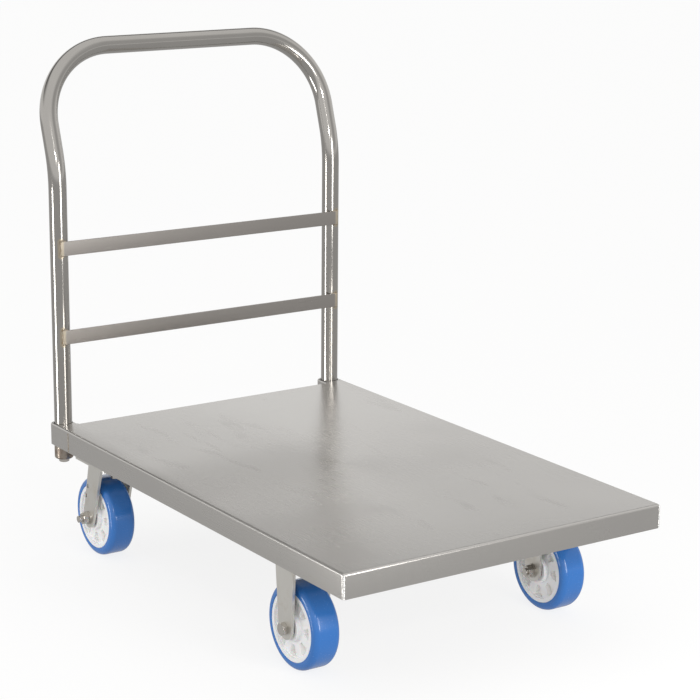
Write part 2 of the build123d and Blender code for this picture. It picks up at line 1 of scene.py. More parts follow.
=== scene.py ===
# %% [markdown]
# # A stainless platform truck
# The truck is a folded sheet deck on four casters with a bent tube handle. Its working shapes come
# packed from the CAD model as a fixed frame, one mesh for each real piece. This lesson gives that
# frame its finishes, rebuilds the pieces whose curves show (handle, tyres), and adds what a CAD
# model leaves out: weld beads, screw threads and broken edges. All lengths are metres.

# %% Load the frame
import bmesh
import bpy
import json
import math
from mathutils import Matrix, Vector

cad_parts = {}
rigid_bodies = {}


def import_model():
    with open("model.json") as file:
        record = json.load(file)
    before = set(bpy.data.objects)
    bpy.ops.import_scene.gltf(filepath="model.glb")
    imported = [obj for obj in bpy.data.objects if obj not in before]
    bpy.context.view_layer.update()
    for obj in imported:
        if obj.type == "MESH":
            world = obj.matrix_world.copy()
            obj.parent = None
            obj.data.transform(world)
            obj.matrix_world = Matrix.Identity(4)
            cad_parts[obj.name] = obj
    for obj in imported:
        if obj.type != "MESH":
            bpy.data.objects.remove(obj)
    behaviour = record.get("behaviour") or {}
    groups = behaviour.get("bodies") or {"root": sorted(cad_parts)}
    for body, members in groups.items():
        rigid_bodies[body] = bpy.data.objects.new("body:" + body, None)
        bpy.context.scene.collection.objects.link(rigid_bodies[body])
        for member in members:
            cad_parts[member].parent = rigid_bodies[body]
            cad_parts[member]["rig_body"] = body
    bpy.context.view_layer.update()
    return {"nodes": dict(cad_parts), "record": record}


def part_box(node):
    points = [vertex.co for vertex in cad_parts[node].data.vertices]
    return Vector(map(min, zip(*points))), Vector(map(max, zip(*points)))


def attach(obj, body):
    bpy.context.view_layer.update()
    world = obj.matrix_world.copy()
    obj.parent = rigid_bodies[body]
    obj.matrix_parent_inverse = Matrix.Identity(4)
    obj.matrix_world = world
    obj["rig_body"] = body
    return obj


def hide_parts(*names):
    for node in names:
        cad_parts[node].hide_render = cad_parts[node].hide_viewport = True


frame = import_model()
nodes = frame["nodes"]
MM = 0.001

# %% [markdown]
# ## Places
# Every place is read from the frame's own boxes, so that nothing here has to be fitted by eye. A
# box gives the lowest and highest corner of one piece; the wheels' boxes give their axles.

# %% Places read from the frame
deck_low, deck_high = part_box("deck_pan")
tube_low, tube_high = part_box("handle_tube")
TUBE_RADIUS = 31.75 * MM / 2
TUBE_WALL = 1.5 * MM
UPRIGHT_Y = tube_high.y - TUBE_RADIUS
UPRIGHT_X = tube_high.x - TUBE_RADIUS
TOP_X = tube_low.x + TUBE_RADIUS
TOP_Z = tube_high.z - TUBE_RADIUS
deck_centre = Vector(((deck_low.x + deck_high.x) / 2, 0, deck_high.z))
SIDES = {"left": 1, "right": -1}


def middle(node):
    """Centre of a CAD piece's box."""
    low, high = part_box(node)
    return (low + high) / 2


wheel_centres = {
    f"{end}_{side}": middle(f"{end}_{side}_tread")
    for end in ("front", "rear") for side in SIDES
}
print("deck", tuple(round(v, 4) for v in deck_high - deck_low))
print("wheels", {name: tuple(round(v, 4) for v in at) for name, at in wheel_centres.items()})

# %% [markdown]
# ## Camera
# A long lens from the front right corner, a little above the handle, keeps the deck's edges nearly
# parallel. The camera is placed by an aim point, two angles and a distance, which read better
# than a matrix, and a half-degree roll is added at the end.

# %% Camera
AIM = deck_centre + Vector((0.0326, -0.0104, 0.2055))
VIEW_AZIMUTH = math.radians(56.01)
VIEW_ELEVATION = math.radians(14.06)
VIEW_ROLL = math.radians(0.466)
VIEW_DISTANCE = 3.6

camera_data = bpy.data.cameras.new("camera")
camera_data.lens = 112
camera = bpy.data.objects.new("camera", camera_data)
bpy.context.scene.collection.objects.link(camera)
towards_camera = Vector((
    math.sin(VIEW_AZIMUTH) * math.cos(VIEW_ELEVATION),
    -math.cos(VIEW_AZIMUTH) * math.cos(VIEW_ELEVATION),
    math.sin(VIEW_ELEVATION),
))
camera.location = AIM + towards_camera * VIEW_DISTANCE
turn = (-towards_camera).to_track_quat("-Z", "Y").to_euler()
turn.rotate_axis("Z", VIEW_ROLL)
camera.rotation_euler = turn
bpy.context.scene.camera = camera
print("camera", tuple(round(v, 3) for v in camera.location))

# %% [markdown]
# ## Writing node trees as arithmetic
# Finishes and repeated shapes are both node trees. Wiring them by hand is long, so one small class
# wraps a socket: `a * b + 0.2` adds the Math nodes by itself. Everything else comes from one
# method, `node`, which takes a node's type, its settings and its sockets' values or links.

# %% Signals and trees
class Signal:
    """One output socket; ordinary arithmetic on it adds Math nodes."""

    def __init__(self, tree, socket):
        self.tree = tree
        self.socket = socket

    def out(self, name):
        return Signal(self.tree, self.socket.node.outputs[name])

    def maths(self, operation, *values):
        return self.tree.node("ShaderNodeMath", {"operation": operation}, dict(enumerate(values)))

    def __add__(self, other):
        return self.maths("ADD", self, other)

    def __radd__(self, other):
        return self.maths("ADD", other, self)

    def __sub__(self, other):
        return self.maths("SUBTRACT", self, other)

    def __rsub__(self, other):
        return self.maths("SUBTRACT", other, self)

    def __mul__(self, other):
        return self.maths("MULTIPLY", self, other)

    def __rmul__(self, other):
        return self.maths("MULTIPLY", other, self)

    def __truediv__(self, other):
        return self.maths("DIVIDE", self, other)

    def __pow__(self, other):
        return self.maths("POWER", self, other)

    def size(self):
        return self.maths("ABSOLUTE", self)

    def larger(self, other):
        return self.maths("MAXIMUM", self, other)

    def rise(self, start, end):
        """0 below start, 1 above end, smooth between."""
        return self.tree.node(
            "ShaderNodeMapRange", {"interpolation_type": "SMOOTHSTEP"},
            {"Value": self, "From Min": start, "From Max": end},
        )


class Tree:
    """A node tree that is built by calls."""

    def __init__(self, node_tree):
        self.tree = node_tree

    def node(self, kind, settings=None, sockets=None):
        made = self.tree.nodes.new(kind)
        for name, value in (settings or {}).items():
            if name == "stops":
                self.set_stops(made.color_ramp, value)
            else:
                setattr(made, name, value)
        for key, value in (sockets or {}).items():
            self.feed(made.inputs[key], value)
        return Signal(self, made.outputs[0]) if made.outputs else made

    def feed(self, socket, value):
        if isinstance(value, Signal):
            self.tree.links.new(value.socket, socket)
        else:
            socket.default_value = value

    def set_stops(self, ramp, stops):
        while len(ramp.elements) < len(stops):
            ramp.elements.new(0.5)
        for element, (place, colour) in zip(ramp.elements, stops):
            element.position = place
            element.color = (*colour, 1)


# %% [markdown]
# ## Finishes
# Every finish starts from the same sheet: a Principled shader, the piece's Object coordinates and a
# few kinds of noise. Metal is mostly what it reflects, so most of the detail goes into Roughness
# and a very shallow Bump; colour only carries stains and heat tint.

# %% A finish sheet
class Finish(Tree):
    """A material in the making."""

    def __init__(self, name, **constants):
        self.material = bpy.data.materials.new(name)
        self.material.use_nodes = True
        super().__init__(self.material.node_tree)
        self.shader = self.tree.nodes["Principled BSDF"]
        self.place = self.node("ShaderNodeTexCoord").out("Object")
        for name, value in constants.items():
            self.shader.inputs[name.replace("_", " ")].default_value = value

    def stretched(self, scale, turn=(0, 0, 0)):
        """Object coordinates scaled along each axis, then used to stretch a noise."""
        return self.node("ShaderNodeMapping", None,
                         {"Vector": self.place, "Scale": scale, "Rotation": turn})

    def noise(self, scale, detail=2.0, at=None, roughness=0.5):
        return self.node("ShaderNodeTexNoise", None,
                         {"Vector": at or self.place, "Scale": scale, "Detail": detail,
                          "Roughness": roughness})

    def axis(self, letter):
        return self.node("ShaderNodeSeparateXYZ", None, {0: self.place}).out(letter)

    def mix(self, factor, first, second):
        """Colour between first and second."""
        made = self.node("ShaderNodeMix", {"data_type": "RGBA"}, {0: factor})
        for index, value in ((6, first), (7, second)):
            if isinstance(value, tuple):
                value = (*value, 1)
            self.feed(made.socket.node.inputs[index], value)
        return Signal(self, made.socket.node.outputs[2])

    def set(self, **sockets):
        for name, value in sockets.items():
            self.feed(self.shader.inputs[name.replace("_", " ")], value)
        return self.material

    def bump(self, height, distance, strength=1.0):
        """Shallow relief; distance is the height in metres of a full step."""
        return self.node("ShaderNodeBump", None,
                         {"Height": height, "Distance": distance, "Strength": strength})


# %% [markdown]
# ### Folded sheet
# The deck is stainless sheet with a fine grain along its length. Handling leaves faint clouds,
# drying marks in slanted wisps and a few dull spots. Three noises of different stretch give these;
# the grain itself is a noise stretched hard along X.

# %% Sheet finish
WARM_STEEL = (0.52, 0.505, 0.485)


def sheet_finish(name, colour, dull, grain_scale=(14, 2400, 2400)):
    finish = Finish(name, Metallic=1.0, Anisotropic=0.35)
    clouds = finish.noise(3.2, 4.0)
    wisps = finish.noise(1.0, 5.0, finish.stretched((4, 17, 8), (0, 0, 0.5)), 0.62).rise(0.56, 0.74)
    spots = finish.noise(17.0, 3.0, roughness=0.7).rise(0.66, 0.80)
    grain = finish.noise(1.0, 3.0, finish.stretched(grain_scale))
    marks = 0.22 * wisps + 0.16 * spots + 0.35 * (clouds - 0.5).size()
    stained = tuple(0.78 * part for part in colour)
    tone = finish.mix(marks, colour, stained)
    rough = dull + 0.10 * (clouds - 0.5) + 0.05 * wisps + 0.05 * (grain - 0.5)
    relief = finish.bump(grain, 0.000004, 0.4)
    return finish.set(Base_Color=tone, Roughness=rough, Normal=relief)


deck_finish = sheet_finish("deck_sheet", WARM_STEEL, 0.27)
print("finish", deck_finish.name)

# %% [markdown]
# ### Polished tube
# The handle is bright drawn tube. Drawing leaves faint lines along the tube, so the finish reads
# two numbers that the handle's mesh carries: `along`, metres along the path, and `around`, which
# is 0 to 1 round the wall. Straw and brown heat tint lies where the crossbars are welded on.

# %% Heat tint shared by everything near a weld
bar_levels = [middle(f"handle_crossbar_{name}").z for name in ("lower", "upper")]
bar_half = (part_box("handle_crossbar_lower")[1].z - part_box("handle_crossbar_lower")[0].z) / 2
STRAW = (0.47, 0.42, 0.34)
BROWN = (0.38, 0.32, 0.24)


def near_bar_ends(finish, reach):
    """1 at the crossbar welds, falling to 0 at reach metres away."""
    y = (finish.axis("Y").size() - (UPRIGHT_Y + 0.004)).size()
    best = None
    for level in bar_levels:
        z = ((finish.axis("Z") - level).size() - bar_half).larger(0.0)
        x = (finish.axis("X") - (UPRIGHT_X + TUBE_RADIUS)).size()
        far = (y * y + z * z + x * x) ** 0.5
        mask = 1 - far.rise(reach * 0.25, reach)
        best = mask if best is None else best.larger(mask)
    return best


def tinted(finish, base, mask):
    """base colour, through straw to brown as mask rises."""
    ragged = mask * (0.45 + 0.4 * finish.noise(160.0, 3.0))
    straw = finish.mix(ragged.rise(0.10, 0.45), base, STRAW)
    return finish.mix(ragged.rise(0.45, 0.95), straw, BROWN)


# %% Tube and bar finishes
def tube_finish():
    finish = Finish("polished_tube", Metallic=1.0, Anisotropic=0.2)
    along = finish.node("ShaderNodeAttribute", {"attribute_name": "along"}).out("Fac")
    around = finish.node("ShaderNodeAttribute", {"attribute_name": "around"}).out("Fac")
    lines_at = finish.node("ShaderNodeCombineXYZ", None, {0: along * 3.0, 1: around * 46.0})
    lines = finish.noise(1.0, 3.0, lines_at)
    smears = finish.noise(14.0, 4.0)
    tint = near_bar_ends(finish, 0.009)
    base = finish.mix(0.5 * smears, (0.43, 0.415, 0.395), (0.34, 0.325, 0.305))
    rough = 0.085 + 0.07 * smears + 0.07 * (lines - 0.5).size() + 0.18 * tint
    relief = finish.bump(lines, 0.00005, 0.35)
    return finish.set(Base_Color=tinted(finish, base, tint), Roughness=rough, Normal=relief)


def bar_finish():
    finish = Finish("flat_bar", Metallic=1.0, Anisotropic=0.3)
    grain = finish.noise(1.0, 3.0, finish.stretched((500, 6, 500)))
    clouds = finish.noise(9.0, 3.0)
    tint = near_bar_ends(finish, 0.008)
    base = finish.mix(clouds, (0.36, 0.34, 0.32), (0.31, 0.29, 0.275))
    rough = 0.30 + 0.10 * (clouds - 0.5) + 0.08 * (grain - 0.5) + 0.1 * tint
    relief = finish.bump(grain, 0.00004, 0.5)
    return finish.set(Base_Color=tinted(finish, base, tint), Roughness=rough, Normal=relief)


handle_finish = tube_finish()
crossbar_finish = bar_finish()
print("finishes", handle_finish.name, crossbar_finish.name)

# %% [markdown]
# ### Pressed steel, fasteners and welds
# The casters are satin pressed steel, the bolts are turned and slightly stained, and a weld bead is
# dull with straw and grey patches. They differ only in tone, dullness and grain size, so one
# function makes all of them.

# %% Other metals
def metal_finish(name, colour, stain, dull, grain, stain_scale=60.0, stain_start=0.5):
    """Plain metal with fine grain and patchy stain."""
    finish = Finish(name, Metallic=1.0)
    patches = finish.noise(stain_scale, 4.0).rise(stain_start, stain_start + 0.22)
    fine = finish.noise(grain, 3.0)
    tone = finish.mix(patches, colour, stain)
    rough = dull + 0.10 * patches + 0.14 * (fine - 0.5)
    relief = finish.bump(fine, 0.00006, 0.5)
    return finish.set(Base_Color=tone, Roughness=rough, Normal=relief)


fork_finish = metal_finish("fork_steel", (0.66, 0.645, 0.61), (0.58, 0.55, 0.50), 0.36, 700, 30, 0.52)
channel_finish = metal_finish("channel_steel", (0.42, 0.41, 0.395), (0.36, 0.34, 0.32), 0.40, 600, 22)
bolt_finish = metal_finish("bolt_steel", (0.56, 0.535, 0.50), (0.42, 0.38, 0.32), 0.24, 700, 150, 0.55)
weld_finish = metal_finish("weld_bead", (0.42, 0.37, 0.30), (0.30, 0.21, 0.12), 0.33, 1200, 260, 0.46)
ground_finish = metal_finish("ground_weld", (0.96, 0.955, 0.94), (0.90, 0.88, 0.85), 0.24, 900, 90, 0.5)
spud_finish = metal_finish("tinted_steel", (0.36, 0.315, 0.27), (0.25, 0.20, 0.165), 0.34, 500, 75, 0.45)
ball_finish = metal_finish("ball_steel", (0.62, 0.62, 0.62), (0.5, 0.5, 0.5), 0.08, 900)
print("metals", [f.name for f in (fork_finish, channel_finish, bolt_finish, weld_finish)])

# %% [markdown]
# ### Tyre and wheel centre
# The tyre is cast polyurethane: saturated blue, glossy, with a faint swirl in the colour from
# casting. The centre is white moulded plastic; down in its pockets its colour is painted a little
# yellower and darker as painted shade. The mesh carries that depth as an attribute, because it follows
# the surface.

# %% Plastics
def tread_finish():
    finish = Finish("blue_tread", IOR=1.5, Coat_Weight=0.15, Coat_Roughness=0.06)
    swirl = finish.noise(22.0, 3.0)
    dust = finish.noise(420.0, 2.0).rise(0.60, 0.75)
    tone = finish.mix(swirl, (0.030, 0.165, 0.520), (0.040, 0.190, 0.560))
    tone = finish.mix(0.04 * dust, tone, (0.25, 0.34, 0.55))
    rough = 0.16 + 0.08 * swirl + 0.12 * dust
    relief = finish.bump(finish.noise(90.0, 2.0), 0.0002, 0.25)
    return finish.set(Base_Color=tone, Roughness=rough, Normal=relief)


def core_finish():
    finish = Finish("white_core", IOR=1.5, Subsurface_Weight=0.12, Subsurface_Scale=0.004)
    depth = finish.node("ShaderNodeAttribute", {"attribute_name": "depth"}).out("Fac")
    mottle = finish.noise(60.0, 3.0)
    # Painted shade: the colour yellows with pocket depth to stand for shade in the recesses, varied at
    # random by the mottle.
    shade = (depth * 1.1 + 0.25 * (mottle - 0.5)).rise(0.1, 1.1)
    tone = finish.mix(shade * 0.6, (0.93, 0.93, 0.945), (0.95, 0.94, 0.88))
    relief = finish.bump(finish.noise(500.0, 2.0), 0.00008, 0.4)
    return finish.set(Base_Color=tone, Roughness=0.38 + 0.1 * mottle, Normal=relief)


def bush_finish():
    finish = Finish("bush_plastic", IOR=1.48)
    mottle = finish.noise(200.0, 2.0)
    tone = finish.mix(mottle, (0.045, 0.045, 0.048), (0.08, 0.08, 0.085))
    return finish.set(Base_Color=tone, Roughness=0.42 + 0.1 * mottle)


tyre_finish = tread_finish()
centre_finish = core_finish()
plain_bush_finish = bush_finish()
print("plastics", tyre_finish.name, centre_finish.name, plain_bush_finish.name)

# %% [markdown]
# ## Taking a CAD piece over
# A CAD mesh comes as loose flat triangles, so light breaks on every facet of a curve. For a piece
# that shows, a copy is merged, its edges are marked sharp where the real piece has an edge, and a
# hairline bevel catches the light there. The copy then stands for the node.

# %% Copies with smooth curves and broken edges
SHARP = math.radians(28)


def smooth_copy(node, finish, broken_edge=0.4 * MM):
    """A merged, smooth-shaded copy of a CAD node with its edges broken."""
    piece = nodes[node].copy()
    piece.data = nodes[node].data.copy()
    piece.name = node + "_finished"
    for key in [key for key in piece.keys() if key.startswith("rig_")]:
        del piece[key]
    bpy.context.scene.collection.objects.link(piece)
    merged = bmesh.new()
    merged.from_mesh(piece.data)
    bmesh.ops.remove_doubles(merged, verts=merged.verts, dist=1e-6)
    bmesh.ops.dissolve_limit(merged, angle_limit=math.radians(0.5), use_dissolve_boundaries=False,
                             verts=merged.verts, edges=merged.edges)
    for face in merged.faces:
        face.smooth = True
    for edge in merged.edges:
        edge.smooth = len(edge.link_faces) == 2 and edge.calc_face_angle(0) < SHARP
    merged.to_mesh(piece.data)
    merged.free()
    piece.data.materials.clear()
    piece.data.materials.append(finish)
    if broken_edge:
        bevel = piece.modifiers.new("broken_edge", "BEVEL")
        bevel.width = broken_edge
        bevel.segments = 2
        bevel.limit_method = "ANGLE"
        bevel.angle_limit = SHARP
        bevel.harden_normals = True
    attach(piece, nodes[node]["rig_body"])
    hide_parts(node)
    return piece


# %% The welded body of the truck
record_slot = {row["node"]: row["material_slot"] for row in frame["record"]["subparts"]}
finish_of_slot = {
    "brushed_sheet": deck_finish,
    "channel_steel": channel_finish,
    "flat_bar": crossbar_finish,
    "tinted_steel": spud_finish,
    "fork_steel": fork_finish,
    "fasteners": bolt_finish,
    "sleeve_steel": bolt_finish,
    "ball_steel": ball_finish,
    "blue_tread": tyre_finish,
    "white_core": centre_finish,
    "bush_plastic": plain_bush_finish,
    "polished_tube": handle_finish,
}
REBUILT = {"handle_tube"} | {f"{name}_tread" for name in wheel_centres}
HIDDEN = ("weld_nuts", "tube_plug", "swivel_balls", "axle_sleeve", "bushes")
copies = {}
for node, slot_name in sorted(record_slot.items()):
    if node in REBUILT:
        continue
    if any(word in node for word in HIDDEN):
        nodes[node].data.materials.clear()
        nodes[node].data.materials.append(finish_of_slot[slot_name])
        continue
    copies[node] = smooth_copy(node, finish_of_slot[slot_name])
print("copies", len(copies))

# %% Depth attribute on the wheel centres
CORE_FACE = 23.5 * MM
POCKET_DEPTH = 16 * MM
# This depth drives the painted shade in the pockets of the white centre's colour.
for name, centre in wheel_centres.items():
    mesh = copies[f"{name}_wheel_core"].data
    depth = mesh.attributes.new("depth", "FLOAT", "POINT")
    values = [max(0.0, (CORE_FACE - abs(v.co.y - centre.y)) / POCKET_DEPTH) for v in mesh.vertices]
    depth.data.foreach_set("value", values)
print("depth runs from", round(min(values), 2), "to", round(max(values), 2))

# %% [markdown]
# ## Shapes from rules
# Geometry Nodes build what follows a path or repeats: the handle is a circle swept along a bent
# line, a tyre is a rounded section swept round a circle, a weld is a row of overlapping ripples and
# a thread is a ridge along a helix. Each tree has named inputs, and the result is baked to a mesh.

# %% A recipe for Geometry Nodes
class Recipe(Tree):
    """A Geometry Nodes tree with named inputs, baked to a plain mesh."""

    def __init__(self, name):
        self.group = bpy.data.node_groups.new(name, "GeometryNodeTree")
        super().__init__(self.group)
        self.group.interface.new_socket("Geometry", in_out="INPUT", socket_type="NodeSocketGeometry")
        self.group.interface.new_socket("Geometry", in_out="OUTPUT", socket_type="NodeSocketGeometry")
        self.entry = self.group.nodes.new("NodeGroupInput")
        self.exit = self.group.nodes.new("NodeGroupOutput")

    def number(self, name, default, kind="NodeSocketFloat"):
        """A named input of the recipe."""
        socket = self.group.interface.new_socket(name, in_out="INPUT", socket_type=kind)
        socket.default_value = default
        return Signal(self, self.entry.outputs[name])

    def start(self):
        return Signal(self, self.entry.outputs["Geometry"])

    def end(self, shape, finish):
        """Closes the tree: instances become mesh and take the finish."""
        real = self.node("GeometryNodeRealizeInstances", None, {"Geometry": shape})
        done = self.node("GeometryNodeSetMaterial", None, {"Geometry": real, "Material": finish})
        self.feed(self.exit.inputs["Geometry"], done)

    def bake(self, piece_name, source=None, **inputs):
        """Runs the tree on a curve or an empty mesh and returns a plain mesh object."""
        host = bpy.data.objects.new(piece_name + "_host", source or bpy.data.meshes.new(piece_name))
        bpy.context.scene.collection.objects.link(host)
        modifier = host.modifiers.new("recipe", "NODES")
        modifier.node_group = self.group
        for item in self.group.interface.items_tree:
            key = item.name.replace(" ", "_")
            if item.in_out == "INPUT" and key in inputs:
                modifier[item.identifier] = inputs[key]
        depsgraph = bpy.context.evaluated_depsgraph_get()
        depsgraph.update()
        mesh = bpy.data.meshes.new_from_object(host.evaluated_get(depsgraph), depsgraph=depsgraph)
        bpy.data.objects.remove(host)
        piece = bpy.data.objects.new(piece_name, mesh)
        bpy.context.scene.collection.objects.link(piece)
        return piece


def tidy_mesh(piece, smooth=True):
    """Merges doubles and turns every face outwards."""
    shape = bmesh.new()
    shape.from_mesh(piece.data)
    bmesh.ops.remove_doubles(shape, verts=shape.verts, dist=1e-6)
    bmesh.ops.recalc_face_normals(shape, faces=shape.faces)
    for face in shape.faces:
        face.smooth = smooth
    shape.to_mesh(piece.data)
    shape.free()
    return piece


# %% [markdown]
# ### The handle
# One tube runs up from the right socket, leans back at the knee, crosses over and comes down on
# the left. Its centre line has six corners; each is rounded to the bender's radius. The wall's
# circle is swept along it and the mesh keeps how far along and around each point lies.

# %% Handle path
KNEE_Z = deck_high.z + 457.3 * MM
KNEE_RADIUS = 227 * MM
TOP_CORNER_RADIUS = 135 * MM


def rounded(points, radii, steps):
    """The points of an open path with every inner corner turned into an arc."""
    path = [Vector(points[0])]
    for before, corner, after, radius in zip(points, points[1:], points[2:], radii):
        corner = Vector(corner)
        back = (Vector(before) - corner).normalized()
        on = (Vector(after) - corner).normalized()
        half = back.angle(on) / 2
        centre = corner + (back + on).normalized() * radius / math.sin(half)
        start = corner + back * radius / math.tan(half) - centre
        end = corner + on * radius / math.tan(half) - centre
        sweep = start.angle(end)
        for i in range(steps + 1):
            share = i / steps
            first = math.sin((1 - share) * sweep) / math.sin(sweep)
            second = math.sin(share * sweep) / math.sin(sweep)
            path.append(centre + start * first + end * second)
    path.append(Vector(points[-1]))
    return path


def path_curve(name, points, closed=False):
    """A poly curve through the points."""
    curve = bpy.data.curves.new(name, "CURVE")
    curve.dimensions = "3D"
    spline = curve.splines.new("POLY")
    spline.points.add(len(points) - 1)
    for point, place in zip(spline.points, points):
        point.co = (*place, 1)
    spline.use_cyclic_u = closed
    return curve


handle_corners = [
    (UPRIGHT_X, -UPRIGHT_Y, tube_low.z), (UPRIGHT_X, -UPRIGHT_Y, KNEE_Z), (TOP_X, -UPRIGHT_Y, TOP_Z),
    (TOP_X, UPRIGHT_Y, TOP_Z), (UPRIGHT_X, UPRIGHT_Y, KNEE_Z), (UPRIGHT_X, UPRIGHT_Y, tube_low.z),
]
handle_radii = (KNEE_RADIUS, TOP_CORNER_RADIUS, TOP_CORNER_RADIUS, KNEE_RADIUS)
handle_points = rounded(handle_corners, handle_radii, 40)
print("handle points", len(handle_points))

# %% Handle recipe
def swept_tube():
    """Sweeps a round wall along the incoming curve."""
    recipe = Recipe("swept_tube")
    radius = recipe.number("Radius", TUBE_RADIUS)
    wall = recipe.number("Wall", TUBE_WALL)
    line = recipe.start()
    length = recipe.node("GeometryNodeSplineParameter").out("Length")
    line = recipe.node("GeometryNodeStoreNamedAttribute", {"data_type": "FLOAT", "domain": "POINT"},
                       {"Geometry": line, "Name": "along", "Value": length})
    skins = []
    for offset in (0.0, wall):
        ring = recipe.node("GeometryNodeCurvePrimitiveCircle", None,
                           {"Resolution": 72, "Radius": radius - offset})
        share = recipe.node("GeometryNodeSplineParameter")
        ring = recipe.node("GeometryNodeStoreNamedAttribute", {"data_type": "FLOAT", "domain": "POINT"},
                           {"Geometry": ring, "Name": "around", "Value": share})
        skins.append(recipe.node("GeometryNodeCurveToMesh", None,
                                 {"Curve": line, "Profile Curve": ring}))
    inner = recipe.node("GeometryNodeFlipFaces", None, {"Mesh": skins[1]})
    both = recipe.node("GeometryNodeJoinGeometry", None, {"Geometry": skins[0]})
    recipe.tree.links.new(inner.socket, both.socket.node.inputs[0])
    recipe.end(both, handle_finish)
    return recipe


handle = swept_tube().bake("handle_hoop", path_curve("handle_line", handle_points))
print("handle faces", len(handle.data.polygons))

# %% Closing the tube's ends
def close_tube_ends(piece):
    """Bridges the outer and inner wall at both open ends."""
    shape = bmesh.new()
    shape.from_mesh(piece.data)
    for side in SIDES.values():
        rim = [e for e in shape.edges if e.is_boundary and e.verts[0].co.y * side > 0]
        bmesh.ops.bridge_loops(shape, edges=rim)
    bmesh.ops.recalc_face_normals(shape, faces=shape.faces)
    for face in shape.faces:
        face.smooth = True
    for edge in shape.edges:
        edge.smooth = edge.calc_face_angle(0) < SHARP
    shape.to_mesh(piece.data)
    shape.free()


close_tube_ends(handle)
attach(handle, "truck")
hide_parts("handle_tube")
print("handle closed", len(handle.data.polygons))

# %% [markdown]
# ### Tyres
# A tyre is its section swept round the axle: a rectangle whose two outer corners have a large
# radius and whose inner corners are barely broken. One recipe makes all four.

# %% Tyre recipe
SHOULDER = 10.0 * MM
INNER_EDGE = 0.8 * MM
tread_low, tread_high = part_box("front_left_tread")
WHEEL_RADIUS = (tread_high.x - tread_low.x) / 2
CORE_RADIUS = 57 * MM
TREAD_WIDTH = tread_high.y - tread_low.y


def tyre_recipe():
    recipe = Recipe("tyre")
    outer = recipe.number("Outer Radius", WHEEL_RADIUS)
    inner = recipe.number("Inner Radius", CORE_RADIUS)
    width = recipe.number("Width", TREAD_WIDTH)
    shoulder = recipe.number("Shoulder Radius", SHOULDER)
    centre = recipe.number("Centre", (0, 0, 0), "NodeSocketVector")
    section = recipe.node("GeometryNodeCurvePrimitiveQuadrilateral", None,
                          {"Width": outer - inner, "Height": width})
    place = recipe.node("GeometryNodeInputPosition")
    across = recipe.node("ShaderNodeSeparateXYZ", None, {0: place}).out("X")
    outside = across.maths("GREATER_THAN", across, 0.0)
    radius = INNER_EDGE + outside * (shoulder - INNER_EDGE)
    section = recipe.node("GeometryNodeFilletCurve", {"mode": "POLY"},
                          {"Curve": section, "Count": 12, "Radius": radius})
    ring = recipe.node("GeometryNodeCurvePrimitiveCircle", None,
                       {"Resolution": 144, "Radius": (outer + inner) * 0.5})
    tyre = recipe.node("GeometryNodeCurveToMesh", None, {"Curve": ring, "Profile Curve": section})
    tyre = recipe.node("GeometryNodeTransform", None,
                       {"Geometry": tyre, "Rotation": (math.pi / 2, 0, 0), "Translation": centre})
    recipe.end(tyre, tyre_finish)
    return recipe


tyre = tyre_recipe()
for name, centre in wheel_centres.items():
    piece = tidy_mesh(tyre.bake(f"{name}_tyre", Centre=tuple(centre)))
    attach(piece, f"{name}_wheel")
    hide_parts(f"{name}_tread")
spans = [v.co - wheel_centres["rear_right"] for v in piece.data.vertices]
print("tyre radius", round(max(math.hypot(s.x, s.z) for s in spans), 4),
      "half width", round(max(abs(s.y) for s in spans), 4))

# %% [markdown]
# ### Weld beads
# A hand-laid bead is a row of frozen ripples, each lapping the last. The recipe resamples a path at
# the ripple's pitch and puts a flattened ball on every point, turned to follow the path, with a
# little seeded unevenness in size.

# %% Weld recipe
def weld_recipe(name, finish):
    recipe = Recipe(name)
    pitch = recipe.number("Pitch", 1.3 * MM)
    width = recipe.number("Width", 2.0 * MM)
    height = recipe.number("Height", 1.5 * MM)
    seed = recipe.number("Seed", 7, "NodeSocketInt")
    line = recipe.node("GeometryNodeResampleCurve", {"mode": "LENGTH"},
                       {"Curve": recipe.start(), "Length": pitch})
    ripple = recipe.node("GeometryNodeMeshUVSphere", None, {"Segments": 12, "Rings": 8, "Radius": 1.0})
    tangent = recipe.node("GeometryNodeInputTangent")
    heading = recipe.node("FunctionNodeAlignRotationToVector", {"axis": "X"}, {"Vector": tangent})
    uneven = recipe.node("FunctionNodeRandomValue", {"data_type": "FLOAT"},
                         {"Min": 0.86, "Max": 1.14, "Seed": seed}).out("Value")
    for output in uneven.socket.node.outputs:
        if output.type == "VALUE" and output.enabled:
            uneven = Signal(recipe, output)
    size = recipe.node("ShaderNodeCombineXYZ", None,
                       {0: width * 0.62, 1: width * uneven, 2: height * uneven})
    beads = recipe.node("GeometryNodeInstanceOnPoints", None,
                        {"Points": line, "Instance": ripple, "Rotation": heading, "Scale": size})
    smooth = recipe.node("GeometryNodeRealizeInstances", None, {"Geometry": beads})
    smooth = recipe.node("GeometryNodeSetShadeSmooth", None, {"Geometry": smooth})
    recipe.end(smooth, finish)
    return recipe


weld = weld_recipe("weld_bead", weld_finish)
ground_weld = weld_recipe("ground_bead", ground_finish)


def lay_weld(name, points, body, slot_name, recipe=weld, **inputs):
    """Lays one bead along the points."""
    bead = recipe.bake(name, path_curve(name + "_line", points), **inputs)
    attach(bead, body)
    return bead


# %% Crossbar welds
bar_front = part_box("handle_crossbar_lower")[1].x
bar_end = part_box("handle_crossbar_lower")[1].y
for level_name, level in zip(("lower", "upper"), bar_levels):
    for side_name, side in SIDES.items():
        end = side * bar_end
        start = side * (bar_end - 9 * MM)
        x = bar_front - 2.2 * MM
        top = level + bar_half
        low = level - bar_half
        loop = [(x, start, top), (x, end, top), (x - 1 * MM, end, level), (x, end, low), (x, start, low)]
        lay_weld(f"bar_weld_{level_name}_{side_name}", loop, "truck", "flat_bar",
                 Width=1.9 * MM, Height=1.7 * MM, Seed=3)
print("crossbar welds at", [round(v, 3) for v in bar_levels])

